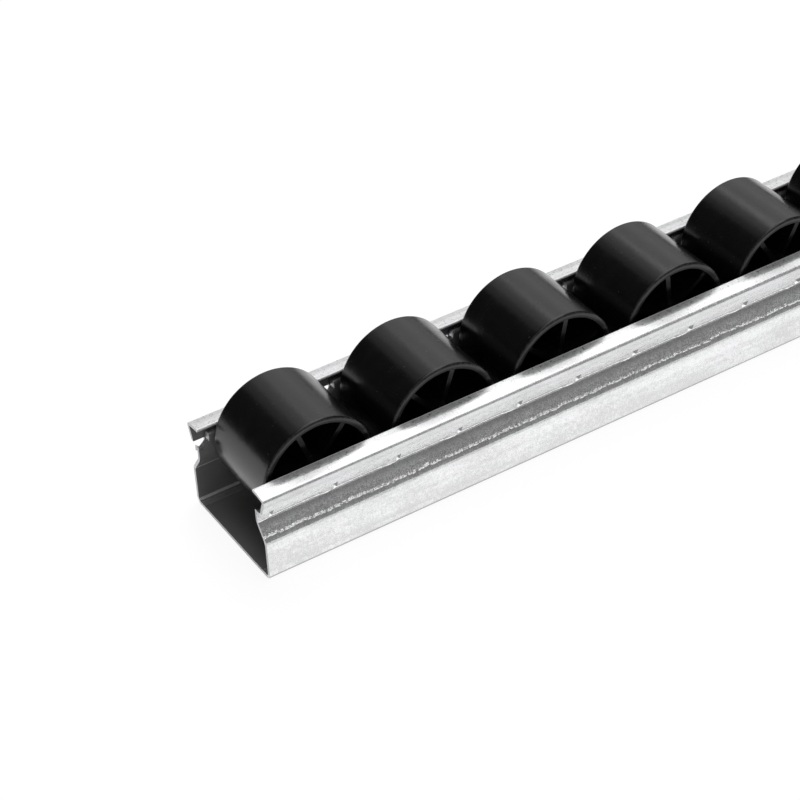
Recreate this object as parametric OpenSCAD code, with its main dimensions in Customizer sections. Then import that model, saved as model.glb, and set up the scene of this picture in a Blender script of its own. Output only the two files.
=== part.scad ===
// Roller track for a flow rack: a folded sheet-steel channel with a row of plastic rollers.
// X runs along the track, Y across it, Z up. The origin is under the middle of the floor.

/* [Track] */
// Length of the rail
track_l = 400; // [200:20:800]
// Distance between the punched notches
notch_pitch = 20; // [20:1:30]
// A roller sits in every so many notches
notches_per_roller = 2; // [2:1:3]
// Distance from the cut end to the middle of its first notch
first_notch = 1.2; // [1.2:0.1:4]

/* [Rail] */
// Width over the lower walls
rail_w = 40.4; // [39:0.1:42]
// Thickness of the sheet
sheet = 1; // [0.8:0.05:1]
// Height at which the lower wall bends in to the shoulder
wall_h = 12.6; // [12:0.1:14]
// Height at which the shoulder meets the neck
shoulder_h = 18; // [17:0.1:18.2]
// Width over the neck, outside
neck_w = 32.7; // [32.2:0.1:33.2]
// Height of the folded edge that the axles lie in
hem_h = 25.6; // [25:0.1:26]
// Space between the folded edge and the top flange over it
hem_headroom = 2.2; // [2:0.1:3]
// Height of the lower edge of the leaning side
side_foot_h = 20.2; // [19.8:0.1:20.4]
// Width over the top flanges
top_w = 42.1; // [41:0.1:42.6]
// Gap between the two top flanges
mouth_w = 29.9; // [29:0.1:30.4]
// Width of the nearly level strip along a flange's inner edge
lip_w = 2.6; // [1.6:0.1:3.2]
// How much a flange climbs from its bend up to that strip
flange_rise = 0.6; // [0.4:0.1:1]
// How much the strip itself climbs to its edge
lip_rise = 0.1; // [0:0.05:0.2]

/* [Rollers] */
// Diameter of a roller
roller_d = 34.6; // [30:0.1:34.6]
// Width of a roller over its rim
roller_w = 27.2; // [22:0.1:27.4]
// Radius of the rim's rounded edges
edge_r = 0.8; // [0.4:0.1:1.2]
// Thickness of the rim at its mouth
rim_t = 2; // [1.8:0.1:3]
// Thickness of the web between the hub and the rim
web_t = 2.4; // [1.5:0.1:4]
// Number of ribs on each side of the web
ribs = 6; // [3:1:8]
// Thickness of a rib
rib_t = 1.5; // [1:0.1:2]
// Depth of the ribs' edges below the rim's end
rib_recess = 2.4; // [1:0.1:4]
// Diameter of the hub
hub_d = 8.4; // [7:0.1:10]

/* [Axles] */
// Diameter of an axle pin
axle_d = 3; // [2.5:0.1:3]
// Length of an axle pin
axle_l = 35; // [34:0.1:35]
// Height of the axles
axle_z = 23.1; // [23:0.05:23.4]
// Half of the angle between the flanks of a notch's V
notch_half_angle = 47; // [42:1:50]
// Width of the hole through the foot of the leaning side, under each notch
foot_hole_w = 4.4; // [4:0.1:5]
// Height of that hole
foot_hole_h = 2.5; // [2:0.1:3]

/* [Fits] */
// Radial running clearance between a roller and its axle
running_gap = 0.06; // [0.03:0.01:0.1]
// Gap between an axle and the V that it rests in
seat_gap = 0.02; // [0.01:0.01:0.05]
// Gap on each side of an axle to its notch, above the V
drop_gap = 0.7; // [0.4:0.1:0.9]
// Gap at each end of a hub, to the neck
side_play = 0.4; // [0.2:0.1:0.8]
// Gap between the two plies of the folded hem
ply_gap = 0.1; // [0.1:0.05:0.2]

/* [Hidden] */
roller_pitch = notch_pitch * notches_per_roller;
first_roller_x = -track_l / 2 + first_notch + notch_pitch;
// As many rollers as the rail has room for.
rollers = 1 + floor((track_l / 2 - roller_d / 2 - first_roller_x) / roller_pitch);

STEEL = [0.80, 0.81, 0.83];
PIN_STEEL = [0.66, 0.67, 0.69];
BLACK = [0.07, 0.07, 0.07];

mid = sheet / 2;
rail_h = hem_h + hem_headroom + sheet;
hem_bend = (sheet + ply_gap) / 2;
neck_y = neck_w / 2 - mid;
hem_y = neck_y + 2 * hem_bend;
foot_y = hem_y + 2 * hem_bend;
top_y = top_w / 2 - mid;
floor_bend = 1.2;
shoulder_bend = 3;
top_bend = 0.7;
crown_bend = 4;
// The most that a bend turns from one flat strip to the next, in degrees.
bend_turn = 15;

// Mid-line of the sheet on the +Y side, from the floor up: each corner's place [y, z] and its bend.
WALL = [
    [[rail_w / 2 - mid, mid], floor_bend],
    [[rail_w / 2 - mid, wall_h], shoulder_bend],
    [[neck_y, shoulder_h], shoulder_bend],
    [[neck_y, hem_h - mid], hem_bend],
    [[hem_y, hem_h - mid], hem_bend],
    [[hem_y, side_foot_h + mid], hem_bend],
    [[foot_y, side_foot_h + mid], hem_bend],
    [[top_y, rail_h - mid - lip_rise - flange_rise], top_bend],
    [[mouth_w / 2 + lip_w, rail_h - mid - lip_rise], crown_bend],
    [[mouth_w / 2 + mid, rail_h - mid], 0]
];
// The whole mid-line, from one flange's edge over the floor to the other's.
MIDLINE = concat(
    [for (i = [len(WALL) - 1:-1:0]) [[-WALL[i][0].x, WALL[i][0].y], WALL[i][1]]],
    WALL
);

// An axle rests on both flanks of a V, under steep flanks that open a little to the top.
seat_r = axle_d / 2 + seat_gap;
notch_point_z = axle_z - seat_r / sin(notch_half_angle);
notch_neck_x = axle_d / 2 + drop_gap;
notch_neck_z = notch_point_z + notch_neck_x / tan(notch_half_angle);
notch_mouth_x = notch_neck_x + 0.2;
notch_mouth_z = hem_h + sheet;

hub_l = neck_w - 2 * sheet - 2 * side_play;
bore_r = axle_d / 2 + running_gap;
mouth_edge_r = 0.4;
rim_draft = 0.6;
hub_draft = 0.4;
axle_chamfer = 0.3;
// Angles at which the rollers have come to rest, one after another.
REST_TURNS = [49, 10, 18, 36, 3, 54, 27, 42, 14, 31];
// How far a cut runs past the metal that it cuts.
FINE = 0.5;

function unit(v) = v / norm(v);
function left_of(v) = [-v.y, v.x];

// Points round one bend of the mid-line, each with its normal: [[y, z], [ny, nz]].
function bend(before, corner, after, r) =
    let (a = unit(corner - before), b = unit(after - corner))
    let (turn = sign(a.x * b.y - a.y * b.x))
    let (sweep = acos(max(-1, min(1, a * b))))
    let (start = corner - a * r * tan(sweep / 2))
    let (centre = start + left_of(a) * turn * r)
    let (steps = ceil(sweep / bend_turn))
    [for (i = [0:steps])
        let (angle = turn * sweep * i / steps)
        let (n = left_of([a.x * cos(angle) - a.y * sin(angle), a.x * sin(angle) + a.y * cos(angle)]))
        [centre - n * turn * r, n]];

// The whole mid-line: its start, every bend and its end.
function stations(path) =
    let (last = len(path) - 1)
    concat(
        [[path[0][0], left_of(unit(path[1][0] - path[0][0]))]],
        [for (i = [1:last - 1]) each bend(path[i - 1][0], path[i][0], path[i + 1][0], path[i][1])],
        [[path[last][0], left_of(unit(path[last][0] - path[last - 1][0]))]]
    );

// The half round that closes the sheet at one end: it starts at the normal's side.
function round_end(place, normal) =
    let (ahead = [normal.y, -normal.x])
    [for (angle = [bend_turn:bend_turn:180 - bend_turn])
        place + (normal * cos(angle) + ahead * sin(angle)) * mid];

// Both faces of the sheet and its two rounded edges, as one closed outline.
function sheet_outline(path) =
    let (s = stations(path), last = len(s) - 1)
    concat(
        [for (i = [0:last]) s[i][0] + s[i][1] * mid],
        round_end(s[last][0], s[last][1]),
        [for (i = [last:-1:0]) s[i][0] - s[i][1] * mid],
        round_end(s[0][0], -s[0][1])
    );

// Places a shape drawn in Y and Z along the track.
module along_track(l) {
    rotate([90, 0, 90]) linear_extrude(height = l, center = true, convexity = 10) children();
}

// One notch: a V with a steep mouth through both plies of the hem, and a hole through its foot.
module notch_cut() {
    inner_face = neck_y - mid - FINE;
    foot_middle = hem_y + hem_bend;
    across(inner_face, foot_middle + ply_gap / 2)
        polygon([
            [0, notch_point_z],
            [notch_neck_x, notch_neck_z],
            [notch_mouth_x, notch_mouth_z],
            [-notch_mouth_x, notch_mouth_z],
            [-notch_neck_x, notch_neck_z]
        ]);
    across(foot_middle, rail_w / 2)
        translate([-foot_hole_w / 2, side_foot_h - FINE])
            square([foot_hole_w, foot_hole_h + FINE]);
}

// Extrudes a shape drawn in X and Z from one Y to another.
module across(from_y, to_y) {
    translate([0, to_y, 0]) rotate([90, 0, 0]) linear_extrude(height = to_y - from_y) children();
}

module rail() {
    notches = floor((track_l - first_notch + notch_mouth_x) / notch_pitch);
    color(STEEL) difference() {
        along_track(track_l) polygon(sheet_outline(MIDLINE));
        for (i = [0:notches], side = [0, 1])
            translate([first_notch + i * notch_pitch - track_l / 2, 0, 0])
                mirror([0, side, 0]) notch_cut();
    }
}

// Rounds the corner at the origin of a shape that lies in the quadrant -x, -y of it.
module rounding(r) {
    difference() {
        translate([-r, -r]) square(r + FINE);
        translate([-r, -r]) circle(r = r, $fn = 32);
    }
}

// Half of the roller's section: radius along x, distance from its middle along y.
module roller_half_section() {
    outer_r = roller_d / 2;
    mouth_r = outer_r - rim_t;
    root_r = mouth_r - rim_draft;
    rim_end = roller_w / 2;
    difference() {
        polygon([[root_r, 0], [outer_r, 0], [outer_r, rim_end], [mouth_r, rim_end], [root_r, web_t / 2]]);
        translate([outer_r, rim_end]) rounding(edge_r);
        translate([mouth_r, rim_end]) mirror([1, 0]) rounding(mouth_edge_r);
    }
    translate([bore_r, 0]) square([outer_r - rim_t - bore_r, web_t / 2]);
    hub_end = hub_l / 2;
    difference() {
        polygon([[bore_r, 0], [hub_d / 2, 0], [hub_d / 2 - hub_draft, hub_end], [bore_r, hub_end]]);
        translate([hub_d / 2 - hub_draft, hub_end]) rounding(mouth_edge_r);
    }
}

// A rib of the roller, on both sides of the web, from the hub out to the rim.
module rib() {
    reach = roller_d / 2 - rim_t / 2;
    start = hub_d / 2 - hub_draft - FINE;
    rib_w = roller_w - 2 * rib_recess;
    translate([start, -rib_t / 2, -rib_w / 2]) cube([reach - start, rib_t, rib_w]);
}

// A roller about its own axis, which is Z here, and the ribs of which one points along X.
module roller_body() {
    rotate_extrude($fn = 96) {
        roller_half_section();
        mirror([0, 1]) roller_half_section();
    }
    for (i = [0:ribs - 1]) rotate(i * 360 / ribs) rib();
}

// Puts a shape drawn about Z on the axle of roller k.
module on_axle(k) {
    translate([first_roller_x + (k - 1) * roller_pitch, 0, axle_z]) rotate([90, 0, 0]) children();
}

module roller(k) {
    color(BLACK) on_axle(k) rotate(REST_TURNS[(k - 1) % len(REST_TURNS)]) roller_body();
}

module axle(k) {
    straight_l = axle_l - 2 * axle_chamfer;
    end_r = axle_d / 2 - axle_chamfer;
    color(PIN_STEEL) on_axle(k) {
        cylinder(h = straight_l, d = axle_d, center = true, $fn = 48);
        for (side = [0, 1])
            mirror([0, 0, side])
                translate([0, 0, straight_l / 2])
                    cylinder(h = axle_chamfer, r1 = axle_d / 2, r2 = end_r, $fn = 48);
    }
}

rail();
for (k = [1:rollers]) roller(k);
for (k = [1:rollers]) axle(k);
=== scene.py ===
# %% [markdown]
# # A roller track for a flow rack
# A flow rack is a shelf of slightly tilted tracks: boxes roll down them to the picker.
# The track is one folded sheet-steel channel. Black plastic rollers stand in it in a row, and each
# spins on a steel pin that lies in a pair of punched notches.
# The shapes come ready from the CAD model, at their real size, so this script is about three
# finishes: bright zinc plating, drawn wire and moulded black plastic, and the light that shows them.

# %% Load the frame
import math
from types import SimpleNamespace

import bpy
import numpy as np
from mathutils import Matrix, Vector


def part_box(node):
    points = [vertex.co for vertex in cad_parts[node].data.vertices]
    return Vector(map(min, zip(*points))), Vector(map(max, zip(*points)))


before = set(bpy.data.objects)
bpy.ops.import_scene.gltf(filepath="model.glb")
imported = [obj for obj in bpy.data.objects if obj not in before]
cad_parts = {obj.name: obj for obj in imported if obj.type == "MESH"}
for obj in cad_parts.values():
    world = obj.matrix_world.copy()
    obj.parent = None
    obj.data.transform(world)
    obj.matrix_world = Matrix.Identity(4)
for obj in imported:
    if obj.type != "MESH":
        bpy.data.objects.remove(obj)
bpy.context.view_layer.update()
MM = 0.001
rollers = sorted(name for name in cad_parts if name.startswith("roller_"))
axles = sorted(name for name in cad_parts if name.startswith("axle_"))
print(len(rollers), "rollers and", len(axles), "pins")

# %% [markdown]
# ## Measuring the model
# The camera, the lamps and all that repeats along the track are set out from the model's own boxes.
# They could be typed in as numbers, but a box that is read stays right when the model changes.
# The rail's near end is where the eye goes first, so the camera is set out from there. A notch is
# punched at each pin and once between, so the notches stand at half the pitch of the rollers.

# %% Measure the rail and the rollers
rail_low, rail_high = (Vector(corner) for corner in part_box("rail"))
near_end = Vector((rail_low.x, 0.0, 0.0))
print("rail", [round(v / MM, 1) for v in rail_high - rail_low], "mm")


def middle(name):
    """The centre of a piece's box: half the sum of its two corners."""
    low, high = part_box(name)
    return (Vector(low) + Vector(high)) / 2


first_axle = middle("axle_1")
roller_pitch = middle("axle_2").x - first_axle.x
notch_pitch = roller_pitch / 2
print("pitch of the rollers", round(roller_pitch / MM, 2), "mm, axles at height", round(first_axle.z / MM, 2))

# %% [markdown]
# ## The camera
# A long lens keeps the rollers alike in size, and still lets them get smaller along the track.
# The camera is turned in three steps: round the object, up, and a slight roll about its own axis.
# Three unit vectors say the same thing without any Euler angles: the one that points back at the
# camera, the one to its right and the one above it.

# %% Camera
VIEW_AZIMUTH = math.radians(-30.79)
VIEW_ELEVATION = math.radians(38.14)
VIEW_ROLL = math.radians(-3.08)
CAMERA_FROM_NEAR_END = Vector((-205.35, -437.68, 423.33)) * MM
LENS_MM = 105.1
SENSOR_MM = 36.0
NEAREST_SEEN = 0.01


def camera_axes(azimuth, elevation, roll):
    """Right, up and back: back = (sin a cos e, -cos a cos e, sin e), then right and up turn by the roll."""
    back = Vector((
        math.sin(azimuth) * math.cos(elevation),
        -math.cos(azimuth) * math.cos(elevation),
        math.sin(elevation),
    ))
    level_right = (-back).cross(Vector((0, 0, 1))).normalized()
    level_up = level_right.cross(-back)
    right = math.cos(roll) * level_right + math.sin(roll) * level_up
    up = -math.sin(roll) * level_right + math.cos(roll) * level_up
    return right, up, back


def add_camera():
    """A camera at its place, whose turn has the three axes as columns."""
    data = bpy.data.cameras.new("camera")
    data.lens = LENS_MM
    data.sensor_width = SENSOR_MM
    data.clip_start = NEAREST_SEEN
    camera = bpy.data.objects.new("camera", data)
    bpy.context.collection.objects.link(camera)
    right, up, back = camera_axes(VIEW_AZIMUTH, VIEW_ELEVATION, VIEW_ROLL)
    turn = Matrix((right, up, back)).transposed().to_4x4()
    camera.matrix_world = Matrix.Translation(near_end + CAMERA_FROM_NEAR_END) @ turn
    bpy.context.scene.camera = camera
    return camera


camera = add_camera()
print("camera at", [round(v, 3) for v in camera.matrix_world.translation])

# %% [markdown]
# ## Helpers for node trees
# A material is a graph. A few short functions keep the graphs readable: one feeds a socket with a
# number or with another node's output, one adds a node with its inputs by name, and one adds a sum.

# %% Adding nodes
def feed(tree, socket, value):
    """Joins an output to a socket, or sets the socket to a plain value."""
    if isinstance(value, bpy.types.NodeSocket):
        tree.links.new(value, socket)
    else:
        socket.default_value = value


def add(tree, kind, settings=None, **inputs):
    """Adds one node. settings are its own properties, inputs its sockets by name, with _ for a space."""
    node = tree.nodes.new("ShaderNode" + kind)
    for key, value in (settings or {}).items():
        setattr(node, key, value)
    for key, value in inputs.items():
        feed(tree, node.inputs[key.replace("_", " ")], value)
    return node


def maths(tree, operation, *values):
    """One Math node: the values are numbers or sockets."""
    node = add(tree, "Math", {"operation": operation})
    for socket, value in zip(node.inputs, values):
        feed(tree, socket, value)
    return node.outputs[0]


def new_material(name):
    """An empty material with its output node: returns the material, its tree and the output."""
    material = bpy.data.materials.new(name)
    material.use_nodes = True
    tree = material.node_tree
    tree.nodes.clear()
    return material, tree, tree.nodes.new("ShaderNodeOutputMaterial")


print("node helpers ready")

# %% [markdown]
# ## Masks
# A mask is a number from 0 to 1 that says where a finish lies. Most are steps with a soft edge, and
# three small sums put masks together: their product is where all of them are, the largest of them
# is where any of them is, and 1 minus a mask is where it isn't.

# %% Masks
def ramp(tree, value, low, high, to_low=0.0, to_high=1.0):
    """Smoothly maps value from low..high to to_low..to_high."""
    node = add(tree, "MapRange", {"interpolation_type": "SMOOTHSTEP"}, Value=value,
               From_Min=low, From_Max=high, To_Min=to_low, To_Max=to_high)
    return node.outputs["Result"]


def above(tree, value, edge, soft):
    """0 below the edge and 1 above it, over a step `soft` wide."""
    return ramp(tree, value, edge - soft / 2, edge + soft / 2)


def below(tree, value, edge, soft):
    """1 below the edge and 0 above it, over a step `soft` wide."""
    return ramp(tree, value, edge - soft / 2, edge + soft / 2, 1.0, 0.0)


def product(tree, first, *others):
    """Several factors multiplied into one."""
    for other in others:
        first = maths(tree, "MULTIPLY", first, other)
    return first


def largest(tree, first, *others):
    """The largest of several values."""
    for other in others:
        first = maths(tree, "MAXIMUM", first, other)
    return first


def inverse(tree, mask):
    """1 minus the mask."""
    return maths(tree, "SUBTRACT", 1.0, mask)


def band(tree, value, low, high, soft):
    """1 between low and high and 0 outside them, with edges `soft` wide."""
    return product(tree, above(tree, value, low, soft), below(tree, value, high, soft))


print("mask helpers ready")

# %% [markdown]
# ## Noise, colour and coordinates
# All patterns are set out in millimetres, so that a grain of half a millimetre is written as two
# grains to a millimetre. A pattern gets its direction by stretching: where an axis counts for less,
# the grains get longer along it. A painted picture could do all this too, but noise needs no
# unwrapping, has no seams and stays sharp close up.

# %% Noise, colour and coordinates
NOISE_ROUGHNESS = 0.55


def noise(tree, where, grains, detail=2.0, stretch=(1, 1, 1)):
    """Noise with about `grains` grains to a millimetre, made sparser along each axis by stretch."""
    stretched = add(tree, "Mapping", Vector=where, Scale=stretch).outputs[0]
    return add(tree, "TexNoise", Vector=stretched, Scale=grains, Detail=detail,
               Roughness=NOISE_ROUGHNESS).outputs[0]


def centred(tree, value, size):
    """A value from 0 to 1 turned into one from -size / 2 to size / 2: value times size, less half size."""
    return maths(tree, "MULTIPLY_ADD", value, size, -size / 2)


def grey(value, tint=0.0):
    """A colour of one lightness, with a little more or less blue than neutral."""
    return (value, value * (1 - tint / 3), value * (1 + tint), 1.0)


def blend_colours(tree, factor, first, second):
    """Mixes two colours by a factor from 0 to 1: first times (1 - factor) plus second times factor."""
    node = add(tree, "Mix", {"data_type": "RGBA"})
    colour_sockets = (node.inputs[0], node.inputs[6], node.inputs[7])
    for socket, value in zip(colour_sockets, (factor, first, second)):
        feed(tree, socket, value)
    return node.outputs[2]


def millimetres(tree):
    """Object coordinates as one vector in millimetres, and its x, y and z."""
    where = add(tree, "TexCoord").outputs["Object"]
    scaled = add(tree, "VectorMath", {"operation": "SCALE"}, Vector=where, Scale=1 / MM).outputs[0]
    return scaled, *add(tree, "SeparateXYZ", Vector=scaled).outputs


print("patterns are measured in units of", MM, "m")

# %% [markdown]
# ## Zinc-plated sheet: its faces
# Plating is metal, so nearly all that shows is what it reflects. What makes it read as zinc and not
# as chrome is that the reflection is soft and uneven, and that it differs from face to face: bright
# outside, smooth on the flanges, grey on the sheared ends, and dim inside the channel, where the
# darker colour is painted shade.
# Faces could be picked by hand and given materials of their own. Here a face's own normal tells
# them apart, because the mesh comes as loose triangles and the borders may then be soft. The normal
# points away from the middle plane outside, up on the flanges, and along the track on a sheared end.

# %% Faces of the sheet
OUTER_SIDE = 16.0
FLANGE_HEIGHT = 26.25
LEVEL_NORMAL = 0.93
SHEARED_NORMAL = 0.8


def sheet_faces(tree, y, z):
    """Distance from the middle plane, and masks of the outside, the flanges, both, and the sheared ends.

    Outside is where the normal's y, times the sign of y, is above 0 and the point is past OUTER_SIDE.
    """
    normal = add(tree, "SeparateXYZ", Vector=add(tree, "TexCoord").outputs["Normal"]).outputs
    side = maths(tree, "ABSOLUTE", y)
    away = maths(tree, "MULTIPLY", normal[1], maths(tree, "SIGN", y))
    outside = product(tree, above(tree, away, 0.0, soft=0.2), above(tree, side, OUTER_SIDE, soft=0.2))
    level = above(tree, normal[2], LEVEL_NORMAL, soft=0.06)
    flange = product(tree, level, above(tree, z, FLANGE_HEIGHT, soft=0.5))
    along = maths(tree, "ABSOLUTE", normal[0])
    return SimpleNamespace(
        side=side,
        outside=outside,
        flange=flange,
        open_air=largest(tree, outside, flange),
        sheared=above(tree, along, SHEARED_NORMAL, soft=0.2),
    )


print("outside starts", OUTER_SIDE, "mm from the middle plane")

# %% [markdown]
# ## Marks along the section: the painted highlight at the foot
# The mill folds the sheet between pairs of steel rollers. The marks here follow the section, so each
# mark is a mask on height and on distance from the middle plane.
# The first is a painted highlight: a bright strip at the foot of the leaning side. Its lower edge
# wavers, and it swells at each notch, where the punch pushed the metal out. Under each notch a hole
# shows the ply behind, and that ply gets painted shade.
# The Math node's PINGPONG folds x back and forth, which gives the distance from the nearest notch.

# %% Painted highlight at the foot
FOOT_EDGE = 18.3
FOOT_TOP = 20.8
FOOT_WAVER = 0.5
SWELL = 0.35
SWELL_REACH = 4.5
HOLE_HALF = 2.35
HOLE_TOP = 22.5
ALONG_THE_TRACK = (1, 0.1, 0.1)


def painted_foot_highlight(tree, where, x, z, faces):
    """Masks of the painted highlight strip, of all above its wavering edge, and of the ply seen through a
    hole.
    """
    from_first = maths(tree, "SUBTRACT", x, first_axle.x / MM)
    from_notch = maths(tree, "PINGPONG", from_first, notch_pitch / MM / 2)
    swell = ramp(tree, from_notch, 0.0, SWELL_REACH, to_low=SWELL, to_high=0.0)
    waver = centred(tree, noise(tree, where, grains=0.6, detail=3, stretch=ALONG_THE_TRACK), FOOT_WAVER)
    height = maths(tree, "ADD", maths(tree, "ADD", z, swell), waver)
    past_edge = above(tree, height, FOOT_EDGE, soft=0.2)
    # The ply seen through each hole gets painted shade.
    behind_hole = product(tree, below(tree, from_notch, HOLE_HALF, soft=0.3),
                          band(tree, z, FOOT_EDGE, HOLE_TOP, soft=0.2))
    # The strip is a painted highlight at the foot of the leaning side.
    strip = product(tree, faces.outside, past_edge, below(tree, z, FOOT_TOP, soft=0.8),
                    inverse(tree, behind_hole))
    return strip, past_edge, behind_hole


# The strip printed here is a painted highlight.
print("burnished from", FOOT_EDGE, "to", FOOT_TOP, "mm, a notch every", round(notch_pitch / MM, 2), "mm")

# %% [markdown]
# ## The line on the bend: a ridge with a painted highlight
# On the bend between the lower wall and the shoulder lies a thin, bright, broken line: a small ridge
# with its highlight painted in as a lighter colour. Below it lies a stripe of painted shade. A slow
# noise lets the line drift up and down, and two more noises break it: one into dashes, one into crumbs.

# %% Ridge line with painted highlight
# The line is a painted highlight on a ridge.
LINE_HEIGHT = 14.45
LINE_DRIFT = 1.3
LINE_HALF = 0.2
DASH_LEVEL = 0.40
CRUMB_LEVEL = 0.41
# The stripe below the line is painted shade.
STRIPE_START = -2.6
STRIPE_FULL = -0.9
STRIPE_END = -0.225
STRIPE_SHADE = 0.5


def ridge_highlight_and_shade(tree, where, z, faces):
    """Masks of the broken line, a ridge with a painted highlight, and of the painted shade below it, darker
    towards the line.
    """
    drift = centred(tree, noise(tree, where, grains=0.35, detail=3, stretch=ALONG_THE_TRACK), LINE_DRIFT)
    from_line = maths(tree, "SUBTRACT", maths(tree, "ADD", z, drift), LINE_HEIGHT)
    dashes = above(tree, noise(tree, where, grains=0.9, detail=3, stretch=(1, 0.3, 0.3)),
                   DASH_LEVEL, soft=0.12)
    crumbs = above(tree, noise(tree, where, grains=1.8, detail=1, stretch=(0.8, 1, 1)),
                   CRUMB_LEVEL, soft=0.10)
    near_line = band(tree, from_line, -LINE_HALF, LINE_HALF, soft=0.4)
    # The line's lighter colour is a painted highlight.
    line = product(tree, faces.outside, near_line, dashes, crumbs)
    # Painted shade below the line, darker towards it.
    shade_towards_line = ramp(tree, from_line, STRIPE_START, STRIPE_FULL, to_high=STRIPE_SHADE)
    stripe = product(tree, faces.outside, shade_towards_line, below(tree, from_line, STRIPE_END, soft=0.25))
    return line, stripe


# The line is a ridge with a painted highlight.
print("rubbed at", LINE_HEIGHT, "mm")

# %% [markdown]
# ## Painted shade and painted highlights
# Shade is painted as a darker colour on the neck under the leaning side, along the lowest bend where
# the rail meets the floor, and on the ply behind each hole. The leaning side also gets darker towards
# its top. Highlights are painted lighter on the flanges' inner edges and along the creases inside the
# channel.

# %% Painted shade and painted highlights
# Painted shade on the neck, under the leaning side.
NECK_START = 15.65
NECK_FULL = 17.8
NECK_SHADE = 0.66
# Painted shade along the lowest bend, where the rail meets the floor.
WALL_SIDE = 18.2
LOW_BEND_START = 1.2
LOW_BEND_END = 1.7
LOW_BEND_SHADE = 0.75
# The leaning side gets darker towards its top.
LEAN_START = 22.5
LEAN_FULL = 26.5
LEAN_END = 27.65
LEAN_DARKENING = 0.25
# Painted shade on the ply behind each hole.
HOLE_SHADE = 0.3
# Painted highlight on the lip, the flange's inner edge.
LIP_SIDE = 15.575
LIP_HEIGHT = 26.75
# Painted highlights on the creases inside the channel.
CREASE_LOW = 12.65
CREASE_HIGH = 13.15
CREASE_SIDE = 17.2
CORNER_SIDE = 18.7
CORNER_HEIGHT = 1.7


def darker_parts(tree, z, faces, stripe, past_edge, behind_hole):
    """How much darker each place is, from 0 to 1: the largest of five marks, four of them painted shade."""
    # Painted shade on the neck, under the leaning side.
    neck = product(tree, ramp(tree, z, NECK_START, NECK_FULL, to_high=NECK_SHADE),
                   inverse(tree, past_edge))
    # Painted shade along the lowest bend, where the rail meets the floor.
    low_bend = product(tree, above(tree, faces.side, WALL_SIDE, soft=0.4),
                       ramp(tree, z, LOW_BEND_START, LOW_BEND_END, to_low=LOW_BEND_SHADE, to_high=0.0))
    # The leaning side gets darker towards its top.
    lean = product(tree, faces.outside, ramp(tree, z, LEAN_START, LEAN_FULL, to_high=LEAN_DARKENING),
                   below(tree, z, LEAN_END, soft=0.3))
    # Painted shade on the ply behind each hole.
    ply = maths(tree, "MULTIPLY", behind_hole, HOLE_SHADE)
    return largest(tree, stripe, neck, low_bend, lean, ply)


def painted_edge_highlights(tree, z, faces):
    """Masks of the painted highlights on the flange's inner edge and on the creases inside the channel."""
    # Painted highlight on the lip, the flange's inner edge.
    lip = product(tree, below(tree, faces.side, LIP_SIDE, soft=0.25), above(tree, z, LIP_HEIGHT, soft=0.5))
    # Painted highlights on the creases inside the channel.
    fold = band(tree, z, CREASE_LOW, CREASE_HIGH, soft=0.3)
    corner = product(tree, above(tree, faces.side, CORNER_SIDE, soft=0.4),
                     below(tree, z, CORNER_HEIGHT, soft=0.4))
    crease = product(tree, largest(tree, fold, corner), inverse(tree, faces.outside),
                     above(tree, faces.side, CREASE_SIDE, soft=0.4))
    return lip, crease


def sheet_marks(tree, where, x, z, faces):
    """All marks of the sheet, each a mask."""
    foot, past_edge, behind_hole = painted_foot_highlight(tree, where, x, z, faces)
    ridge_and_highlight, stripe = ridge_highlight_and_shade(tree, where, z, faces)
    lip, crease = painted_edge_highlights(tree, z, faces)
    darker = darker_parts(tree, z, faces, stripe, past_edge, behind_hole)
    return SimpleNamespace(foot=foot, ridge_and_highlight=ridge_and_highlight, lip=lip, crease=crease, darker=darker)


# The neck and the lowest bend printed here get painted shade.
print("neck dulled by", NECK_SHADE, "and the lowest bend by", LOW_BEND_SHADE)

# %% [markdown]
# ## The colour of zinc
# Zinc is a light metal that is never one grey. Streaks left by rolling, clouds of thicker plating,
# crystals and fine specks are added up into one tone, from dark to light, and the light end wanders
# between a bluish and a greenish white. The shoulder and neck get dark pepper, as rough plating does.

# %% Colour of zinc
DARK_ZINC = grey(0.70)
BLUISH_ZINC = grey(0.95, 0.02)
GREENISH_ZINC = (0.92, 0.955, 0.935, 1.0)
# Darker zinc for painted shade, for the darker top of the leaning side and for pepper specks.
SHADE_AND_PEPPER_ZINC = grey(0.26, 0.03)
# The inside of the channel is painted darker, as shade.
SHADED_INSIDE_ZINC = grey(0.32)
SHEARED_ZINC = grey(0.5, 0.03)
# Lighter zinc for the painted highlights.
HIGHLIGHT_ZINC = grey(0.97, 0.005)
PEPPER_LOW = 13.5
PEPPER_HIGH = 21.0
PEPPER_DULLNESS = 0.6
FINE_SHARE = 0.6
DARK_TONE = 1.9
LIGHT_TONE = 2.7


def sheet_noises(tree, where):
    """The patterns of the plating, from fine to coarse. Rolling stretches the coarse ones along the track."""
    return SimpleNamespace(
        fine=noise(tree, where, grains=3.0, detail=1),
        grain=noise(tree, where, grains=1.9, detail=2),
        mottle=noise(tree, where, grains=0.7, detail=3),
        rolled=noise(tree, where, grains=0.28, detail=2, stretch=(0.01, 1, 1)),
        tint=noise(tree, where, grains=0.22, detail=2, stretch=(0.3, 1, 1)),
        clouds=noise(tree, where, grains=0.16, detail=3, stretch=(0.4, 1, 1)),
    )


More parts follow.
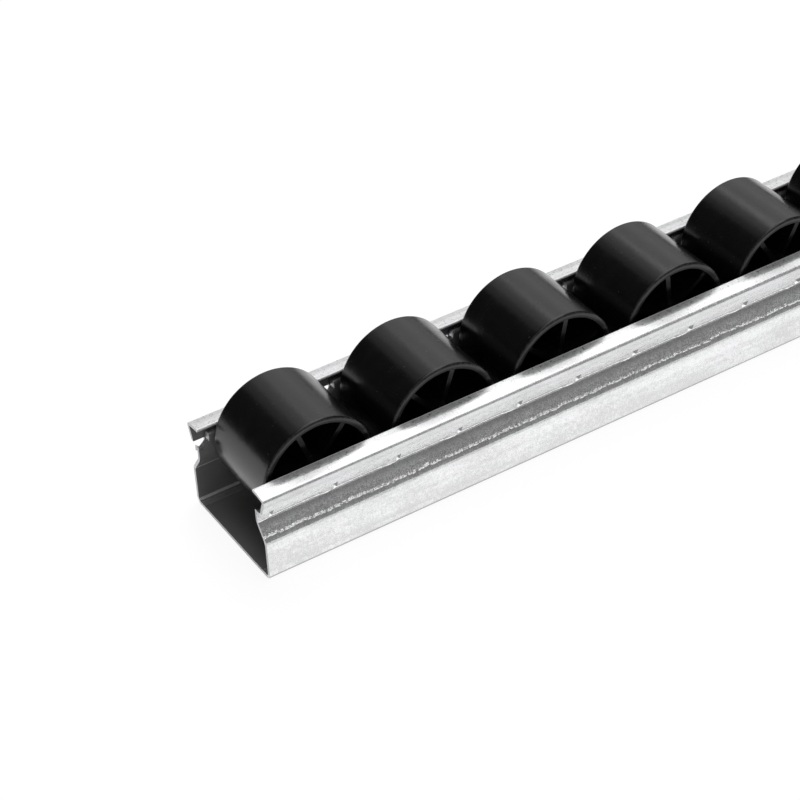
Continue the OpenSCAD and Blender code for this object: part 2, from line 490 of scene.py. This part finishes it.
def zinc_colour(tree, z, noises, faces, marks):
    """Colour of the sheet: the tone is the sum of four noises and a share of the fine one."""
    tone = maths(tree, "MULTIPLY_ADD", noises.fine, FINE_SHARE, noises.grain)
    for pattern in (noises.mottle, noises.rolled, noises.clouds):
        tone = maths(tree, "ADD", tone, pattern)
    light = blend_colours(tree, ramp(tree, noises.tint, low=0.35, high=0.65), BLUISH_ZINC, GREENISH_ZINC)
    colour = blend_colours(tree, ramp(tree, tone, DARK_TONE, LIGHT_TONE), DARK_ZINC, light)
    specks = ramp(tree, noises.fine, low=0.36, high=0.64, to_low=PEPPER_DULLNESS, to_high=0.0)
    pepper = product(tree, faces.open_air, band(tree, z, PEPPER_LOW, PEPPER_HIGH, soft=1.0), specks)
    # Painted shade, the darker top of the leaning side and pepper specks turn the colour darker.
    colour = blend_colours(tree, largest(tree, marks.darker, pepper), colour, SHADE_AND_PEPPER_ZINC)
    # The inside of the channel is painted darker, as shade.
    colour = blend_colours(tree, faces.open_air, SHADED_INSIDE_ZINC, colour)
    colour = blend_colours(tree, faces.sheared, colour, SHEARED_ZINC)
    # Painted highlights on the foot, the bright line, the flanges' inner edges and the creases.
    painted_highlights = largest(tree, marks.foot, marks.ridge_and_highlight, marks.lip, marks.crease)
    return blend_colours(tree, painted_highlights, colour, HIGHLIGHT_ZINC)


print("zinc from", DARK_ZINC[0], "to", BLUISH_ZINC[0])

# %% [markdown]
# ## The grain of zinc
# Grains of about half a millimetre tilt the surface by a few degrees. A face that mirrors something
# even then stays even, and a face that mirrors an edge between light and dark turns mottled, as the
# real one does. The flanges and the foot are pressed smooth, and inside the channel the grain hardly
# shows. The bright line on the bend is a small ridge, which makes it glitter.

# %% Grain of zinc
GRAIN_HEIGHT = 0.13
GRAIN_SHARE = 0.6
RIDGE_HEIGHT = 0.16
INSIDE_GRAIN = 0.05
SMOOTH_ABOVE = 26.6
SMOOTHEST = 0.22
ROUGHEST = 0.34
ROUGHER_INSIDE = 0.14
ROUGHER_FLANGE = 0.05
ROUGHER_FOOT = -0.12


def zinc_roughness(tree, noises, faces, marks):
    """Roughness: from the sum of two noises, plus a share for the inside, the flanges and the foot."""
    uneven = maths(tree, "ADD", noises.mottle, noises.grain)
    rough = ramp(tree, uneven, low=0.7, high=1.3, to_low=SMOOTHEST, to_high=ROUGHEST)
    rough = maths(tree, "MULTIPLY_ADD", inverse(tree, faces.open_air), ROUGHER_INSIDE, rough)
    rough = maths(tree, "MULTIPLY_ADD", faces.flange, ROUGHER_FLANGE, rough)
    return maths(tree, "MULTIPLY_ADD", marks.foot, ROUGHER_FOOT, rough)


def zinc_normal(tree, z, noises, faces, marks):
    """Bump: GRAIN_SHARE times the sum of two noises, times how rugged it is there, plus the ridge of the
    bright line.
    """
    height = maths(tree, "MULTIPLY", maths(tree, "ADD", noises.mottle, noises.grain), GRAIN_SHARE)
    rugged = product(tree, faces.outside, below(tree, z, SMOOTH_ABOVE, soft=1.2), inverse(tree, marks.foot))
    inside = maths(tree, "MULTIPLY", inverse(tree, faces.open_air), INSIDE_GRAIN)
    height = maths(tree, "MULTIPLY", height, largest(tree, rugged, inside))
    height = maths(tree, "MULTIPLY_ADD", marks.ridge_and_highlight, RIDGE_HEIGHT / GRAIN_HEIGHT, height)
    return add(tree, "Bump", Strength=1.0, Distance=GRAIN_HEIGHT * MM, Height=height).outputs[0]


print("grain", GRAIN_HEIGHT, "mm deep, ridge", RIDGE_HEIGHT, "mm high")

# %% [markdown]
# ## The zinc material
# A real coating isn't a perfect mirror: it also scatters a little light. Metallic is the dial for
# that. It is turned down most of all on the flanges' inner edges, where it helps the painted
# highlight, then inside the channel, and a little on the flanges.

# %% Zinc
ZINC_METALLIC = 0.86
SCATTERED_METALLIC = 0.55
INSIDE_SCATTER = 0.7
FLANGE_SCATTER = 0.3


def zinc_material():
    """Zinc plating: metallic is ZINC_METALLIC less SCATTERED_METALLIC times the largest scatter."""
    material, tree, output = new_material("zinc_plated_sheet")
    where, x, y, z = millimetres(tree)
    faces = sheet_faces(tree, y, z)
    marks = sheet_marks(tree, where, x, z, faces)
    noises = sheet_noises(tree, where)
    inside_scatter = maths(tree, "MULTIPLY", inverse(tree, faces.open_air), INSIDE_SCATTER)
    flange_scatter = maths(tree, "MULTIPLY", faces.flange, FLANGE_SCATTER)
    scatter = largest(tree, marks.lip, inside_scatter, flange_scatter)
    bsdf = add(tree, "BsdfPrincipled",
               Base_Color=zinc_colour(tree, z, noises, faces, marks),
               Metallic=maths(tree, "MULTIPLY_ADD", scatter, -SCATTERED_METALLIC, ZINC_METALLIC),
               Roughness=zinc_roughness(tree, noises, faces, marks),
               Normal=zinc_normal(tree, z, noises, faces, marks))
    tree.links.new(bsdf.outputs[0], output.inputs[0])
    return material


zinc = zinc_material()
print("made", zinc.name, "with", len(zinc.node_tree.nodes), "nodes")

# %% [markdown]
# ## Drawn wire
# The pins are cut from drawn wire: plain steel, a bit darker than zinc, with fine lines left by the
# die along its length. The lines are far finer than the mesh, so they are a noise and not a shape.
# A pin lies along y, so the noise counts for little along y.

# %% Wire
DARK_WIRE = grey(0.48)
LIGHT_WIRE = grey(0.66)
WIRE_LINE_DEPTH = 0.02


def wire_material():
    """Drawn steel: one noise stretched along y gives colour, roughness and bump."""
    material, tree, output = new_material("drawn_wire")
    where, *_ = millimetres(tree)
    drawn = noise(tree, where, grains=3.0, detail=3, stretch=(1, 0.05, 1))
    bump = add(tree, "Bump", Strength=0.5, Distance=WIRE_LINE_DEPTH * MM, Height=drawn)
    bsdf = add(tree, "BsdfPrincipled",
               Base_Color=blend_colours(tree, drawn, DARK_WIRE, LIGHT_WIRE),
               Metallic=1.0,
               Roughness=ramp(tree, drawn, low=0.3, high=0.7, to_low=0.22, to_high=0.4),
               Normal=bump.outputs[0])
    tree.links.new(bsdf.outputs[0], output.inputs[0])
    return material


wire = wire_material()
print("made", wire.name)

# %% [markdown]
# ## Coordinates round a roller
# Boxes scuff the tread in rings round it. A ring is easy to paint in polar coordinates, with the
# angle and the distance from the roller's own axle, and since the rollers stand at an even pitch,
# one wrapped x serves all of them. The number of the roller keeps their patterns apart.

# %% Polar coordinates on a roller
def round_the_axle(tree, x, z):
    """Angle and radius about the nearest axle, and the number of that axle: x wrapped to one pitch."""
    pitch = roller_pitch / MM
    from_first = maths(tree, "SUBTRACT", x, first_axle.x / MM)
    across = maths(tree, "WRAP", from_first, pitch / 2, -pitch / 2)
    up = maths(tree, "SUBTRACT", z, first_axle.z / MM)
    angle = maths(tree, "ARCTAN2", up, across)
    square = maths(tree, "MULTIPLY_ADD", across, across, maths(tree, "MULTIPLY", up, up))
    number = maths(tree, "ROUND", maths(tree, "DIVIDE", from_first, pitch))
    return angle, maths(tree, "SQRT", square), number


roller_low, roller_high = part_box("roller_1")
tread_radius = (roller_high[2] - roller_low[2]) / 2 / MM
print("tread radius", round(tread_radius, 2), "mm, wrapped at", round(roller_pitch / MM, 2), "mm")

# %% [markdown]
# ## Wear of the plastic, and a painted highlight on the rim
# The tread is scuffed in rings, the rim's rounded edge gets a thin paler line as a painted highlight,
# and a few crumbs of dust lie on everything. The ring pattern reads angle, y and the roller's number
# as its three coordinates. The rim's flat face is less glossy than the tread, which boxes keep glossy.
# The hub stands out further than the rim, so the rim's end can't be read from the roller's box.

# %% Wear of the plastic and the painted rim highlight
RIM_END = 13.6
SCUFF_DEPTH = 0.35
EDGE_DEPTH = 0.7
EDGE_WIDTH = 0.55
FACE_INSET = 1.1
FACE_DEPTH = 0.1
NUMBER_STEP = 7.3
DUST_SHARE = 0.8


def roller_wear_and_highlight(tree, where, ring, radius, side):
    """Patterns and masks of a roller: rings, scuffs, the painted highlight on the rim's edge, dust and the
    rim's flat face.
    """
    rings = noise(tree, ring, grains=1.6, detail=3, stretch=(0.5, 1, 1))
    tread = above(tree, radius, tread_radius - SCUFF_DEPTH, soft=0.3)
    edge = product(tree, above(tree, radius, tread_radius - EDGE_DEPTH, soft=0.6),
                   above(tree, side, RIM_END - EDGE_WIDTH, soft=0.7))
    inner_face = below(tree, radius, tread_radius - FACE_INSET, soft=0.2)
    return SimpleNamespace(
        rings=rings,
        scuffed=product(tree, tread, ramp(tree, rings, low=0.58, high=0.74)),
        # The paler line on the rim's rounded edge is a painted highlight.
        rim=product(tree, edge, ramp(tree, noise(tree, where, grains=0.8, detail=3), low=0.35, high=0.6)),
        dust=ramp(tree, noise(tree, where, grains=1.1, detail=2), low=0.70, high=0.78, to_high=DUST_SHARE),
        face=product(tree, above(tree, side, RIM_END - FACE_DEPTH, soft=0.1), inner_face),
    )


print("the patterns of two rollers lie", NUMBER_STEP, "apart")

# %% [markdown]
# ## Moulded black plastic
# Black plastic shows almost no colour of its own. Its look is a soft reflection of the studio, so
# roughness and a fine orange peel do the work. A lighter colour would lift the dark sides as well,
# and those have to stay black.

# %% Black plastic
BLACK = grey(0.004)
PALER_BLACK = grey(0.008)
DUST = grey(0.09)
SCUFF = grey(0.016)
# Colour of the painted highlight on the rim's edge.
PAINTED_RIM_HIGHLIGHT = grey(0.035)
SCUFF_SHARE = 0.3
RIM_SHARE = 0.6
ROUGHER_WHERE_WORN = 0.05
RING_SHARE = 0.3
PEEL_DEPTH = 0.02
PLASTIC_IOR = 1.48
GLOSS = 0.5
LESS_GLOSS_ON_FACE = 0.26


def plastic_colour(tree, cloud, wear_and_highlight):
    """Nearly black: two blacks mixed by a slow noise, then dust, scuffs and the rim's painted highlight on
    top.
    """
    colour = blend_colours(tree, cloud, BLACK, PALER_BLACK)
    colour = blend_colours(tree, wear_and_highlight.dust, colour, DUST)
    colour = blend_colours(tree, maths(tree, "MULTIPLY", wear_and_highlight.scuffed, SCUFF_SHARE), colour, SCUFF)
    # The rim's paler edge line is a painted highlight.
    return blend_colours(tree, maths(tree, "MULTIPLY", wear_and_highlight.rim, RIM_SHARE), colour, PAINTED_RIM_HIGHLIGHT)


def plastic_material():
    """Black plastic: roughness and peel come from slow noises, and the scuffs and the rim's edge line make it
    a little rougher.
    """
    material, tree, output = new_material("moulded_black")
    where, x, y, z = millimetres(tree)
    angle, radius, number = round_the_axle(tree, x, z)
    ring = add(tree, "CombineXYZ", X=angle, Y=y, Z=maths(tree, "MULTIPLY", number, NUMBER_STEP)).outputs[0]
    wear_and_highlight = roller_wear_and_highlight(tree, where, ring, radius, maths(tree, "ABSOLUTE", y))
    cloud = noise(tree, where, grains=0.25, detail=3)
    rough = ramp(tree, cloud, low=0.3, high=0.7, to_low=0.19, to_high=0.25)
    scuffs_and_rim_edge = largest(tree, wear_and_highlight.scuffed, wear_and_highlight.rim)
    peel = maths(tree, "MULTIPLY_ADD", wear_and_highlight.rings, RING_SHARE, noise(tree, where, grains=0.9, detail=2))
    bump = add(tree, "Bump", Strength=1.0, Distance=PEEL_DEPTH * MM, Height=peel)
    bsdf = add(tree, "BsdfPrincipled",
               Base_Color=plastic_colour(tree, cloud, wear_and_highlight),
               Roughness=maths(tree, "MULTIPLY_ADD", scuffs_and_rim_edge, ROUGHER_WHERE_WORN, rough),
               Normal=bump.outputs[0],
               IOR=PLASTIC_IOR,
               Specular_IOR_Level=maths(tree, "MULTIPLY_ADD", wear_and_highlight.face, -LESS_GLOSS_ON_FACE, GLOSS))
    tree.links.new(bsdf.outputs[0], output.inputs[0])
    return material


plastic = plastic_material()
print("made", plastic.name)

# %% [markdown]
# ## Dressing the pieces
# The shapes stay as they came. Each piece only has its slots filled with one of the three finishes.

# %% Dress the pieces
def dress(names, material):
    """Puts one material on every slot of the named pieces."""
    for name in names:
        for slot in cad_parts[name].material_slots:
            slot.material = material


dress(["rail"], zinc)
dress(axles, wire)
dress(rollers, plastic)
print("dressed", 1 + len(axles) + len(rollers), "pieces")

# %% [markdown]
# ## Floor
# The floor is a plain white sheet. If it were only lit, it would turn grey away from the lamps. So
# for the camera and for reflections its lit surface is mixed with a steady white: it keeps a faint
# shadow, and the metal mirrors an even white. The light that it gives back stays as it was.

# %% Floor
FLOOR_HALF = 1.2
FLOOR_COLOUR = grey(0.86)
SHADOW_SHARE = 0.22
FLOOR_TO_EYE = 1.16
FLOOR_TO_METAL = 1.6
MIRRORED_SHARE = 0.6


def floor_material():
    """A lit surface mixed with a steady glow, by a share for the camera and another for reflections."""
    material, tree, output = new_material("white_sheet")
    path = add(tree, "LightPath")
    glossy = path.outputs["Is Glossy Ray"]
    lit = add(tree, "BsdfDiffuse", Color=FLOOR_COLOUR).outputs[0]
    strength = maths(tree, "MULTIPLY_ADD", glossy, FLOOR_TO_METAL - FLOOR_TO_EYE, FLOOR_TO_EYE)
    steady = add(tree, "Emission", Color=grey(1.0), Strength=strength).outputs[0]
    seen = maths(tree, "MULTIPLY", path.outputs["Is Camera Ray"], 1 - SHADOW_SHARE)
    mirrored = maths(tree, "MULTIPLY", glossy, MIRRORED_SHARE)
    mix = add(tree, "MixShader", Fac=largest(tree, seen, mirrored))
    tree.links.new(lit, mix.inputs[1])
    tree.links.new(steady, mix.inputs[2])
    tree.links.new(mix.outputs[0], output.inputs[0])
    return material


def add_floor():
    """A square on z = 0: corners (-1, -1), (1, -1), (1, 1), (-1, 1) times its half width."""
    corners = np.array([(-1, -1, 0), (1, -1, 0), (1, 1, 0), (-1, 1, 0)]) * FLOOR_HALF
    mesh = bpy.data.meshes.new("floor")
    mesh.from_pydata(corners.tolist(), [], [(0, 1, 2, 3)])
    mesh.materials.append(floor_material())
    floor = bpy.data.objects.new("floor", mesh)
    bpy.context.collection.objects.link(floor)


add_floor()
print("floor", 2 * FLOOR_HALF, "m wide")

# %% [markdown]
# ## Lamps
# On metal and on black plastic, light is seen and not only felt: each flat face mirrors one
# direction of the room. So the lamps are placed by asking what each face looks at. The flanges and
# the crowns of the rollers look back and up at about 40 degrees, and that is where the big softbox
# hangs. A real softbox is brightest in the middle, so here it is three panels, one inside the other,
# and the reflection fades towards its edges instead of ending in a line. It ends on the left, so the
# left of each roller goes dark. A smaller and brighter panel hangs above it, and one nearly overhead
# lights the rest.

# %% Lamps
LAMP_DISTANCE = 2.5
LIT_POINT = near_end + Vector((0.1, 0, 0.02))


def add_softbox(name, azimuth, elevation, across, up, brightness):
    """A panel that faces the part, placed and sized by angles in degrees, as the part sees it.

    At distance d a panel that spans an angle a is 2 d tan(a / 2) wide, and one of radiance L
    gives pi L watts for each square metre.
    """
    azimuth, elevation = math.radians(azimuth), math.radians(elevation)
    width, height = (2 * LAMP_DISTANCE * math.tan(math.radians(span) / 2) for span in (across, up))
    away = Vector((
        math.sin(azimuth) * math.cos(elevation),
        math.cos(azimuth) * math.cos(elevation),
        math.sin(elevation),
    ))
    data = bpy.data.lights.new(name, "AREA")
    data.shape = "RECTANGLE"
    data.size = width
    data.size_y = height
    data.energy = brightness * math.pi * width * height
    lamp = bpy.data.objects.new(name, data)
    turn = away.to_track_quat("Z", "Y").to_matrix().to_4x4()
    lamp.matrix_world = Matrix.Translation(LIT_POINT + away * LAMP_DISTANCE) @ turn
    lamp.visible_camera = False
    bpy.context.collection.objects.link(lamp)
    print(name, round(width, 2), "x", round(height, 2), "m,", round(data.energy, 1), "W")


add_softbox("back_wide", azimuth=27, elevation=32.5, across=70, up=59, brightness=0.30)
add_softbox("back_middle", azimuth=33.5, elevation=35, across=54, up=54, brightness=0.36)
add_softbox("back_narrow", azimuth=41, elevation=41, across=36, up=42, brightness=0.38)
add_softbox("back_upper", azimuth=46, elevation=60, across=36, up=26, brightness=1.15)
add_softbox("top", azimuth=110, elevation=79, across=48, up=42, brightness=1.5)

# %% [markdown]
# ## The room
# The sloping shoulder looks to the front and up, and there is no lamp there, so it stays grey: it
# mirrors the dim room. The room is lighter in front of the track than behind it, and the camera sees
# plain white. A picture of a real room could do this too, but a ramp along one axis says plainly
# where the light is.

# %% World
FRONT_LIGHT = 0.34
BACK_LIGHT = 0.04
FRONT_ENDS = -0.8
BACK_STARTS = 0.2


def set_world():
    """Strength falls smoothly along the direction's y, from FRONT_LIGHT to BACK_LIGHT. The eye sees white."""
    world = bpy.data.worlds.new("studio")
    world.use_nodes = True
    tree = world.node_tree
    direction = add(tree, "TexCoord").outputs["Generated"]
    towards_back = add(tree, "SeparateXYZ", Vector=direction).outputs[1]
    room = ramp(tree, towards_back, FRONT_ENDS, BACK_STARTS, FRONT_LIGHT, BACK_LIGHT)
    seen = add(tree, "LightPath").outputs["Is Camera Ray"]
    background = tree.nodes["Background"]
    feed(tree, background.inputs["Strength"], largest(tree, room, seen))
    feed(tree, background.inputs["Color"], grey(1.0))
    bpy.context.scene.world = world


set_world()
bpy.context.scene.view_settings.view_transform = "Standard"
print("room from", BACK_LIGHT, "behind to", FRONT_LIGHT, "in front")

# %% [markdown]
# ## Size
# The dressed part keeps the box of the CAD model, since the shapes stay as they came.

# %% Size
print("the shapes keep their CAD size")
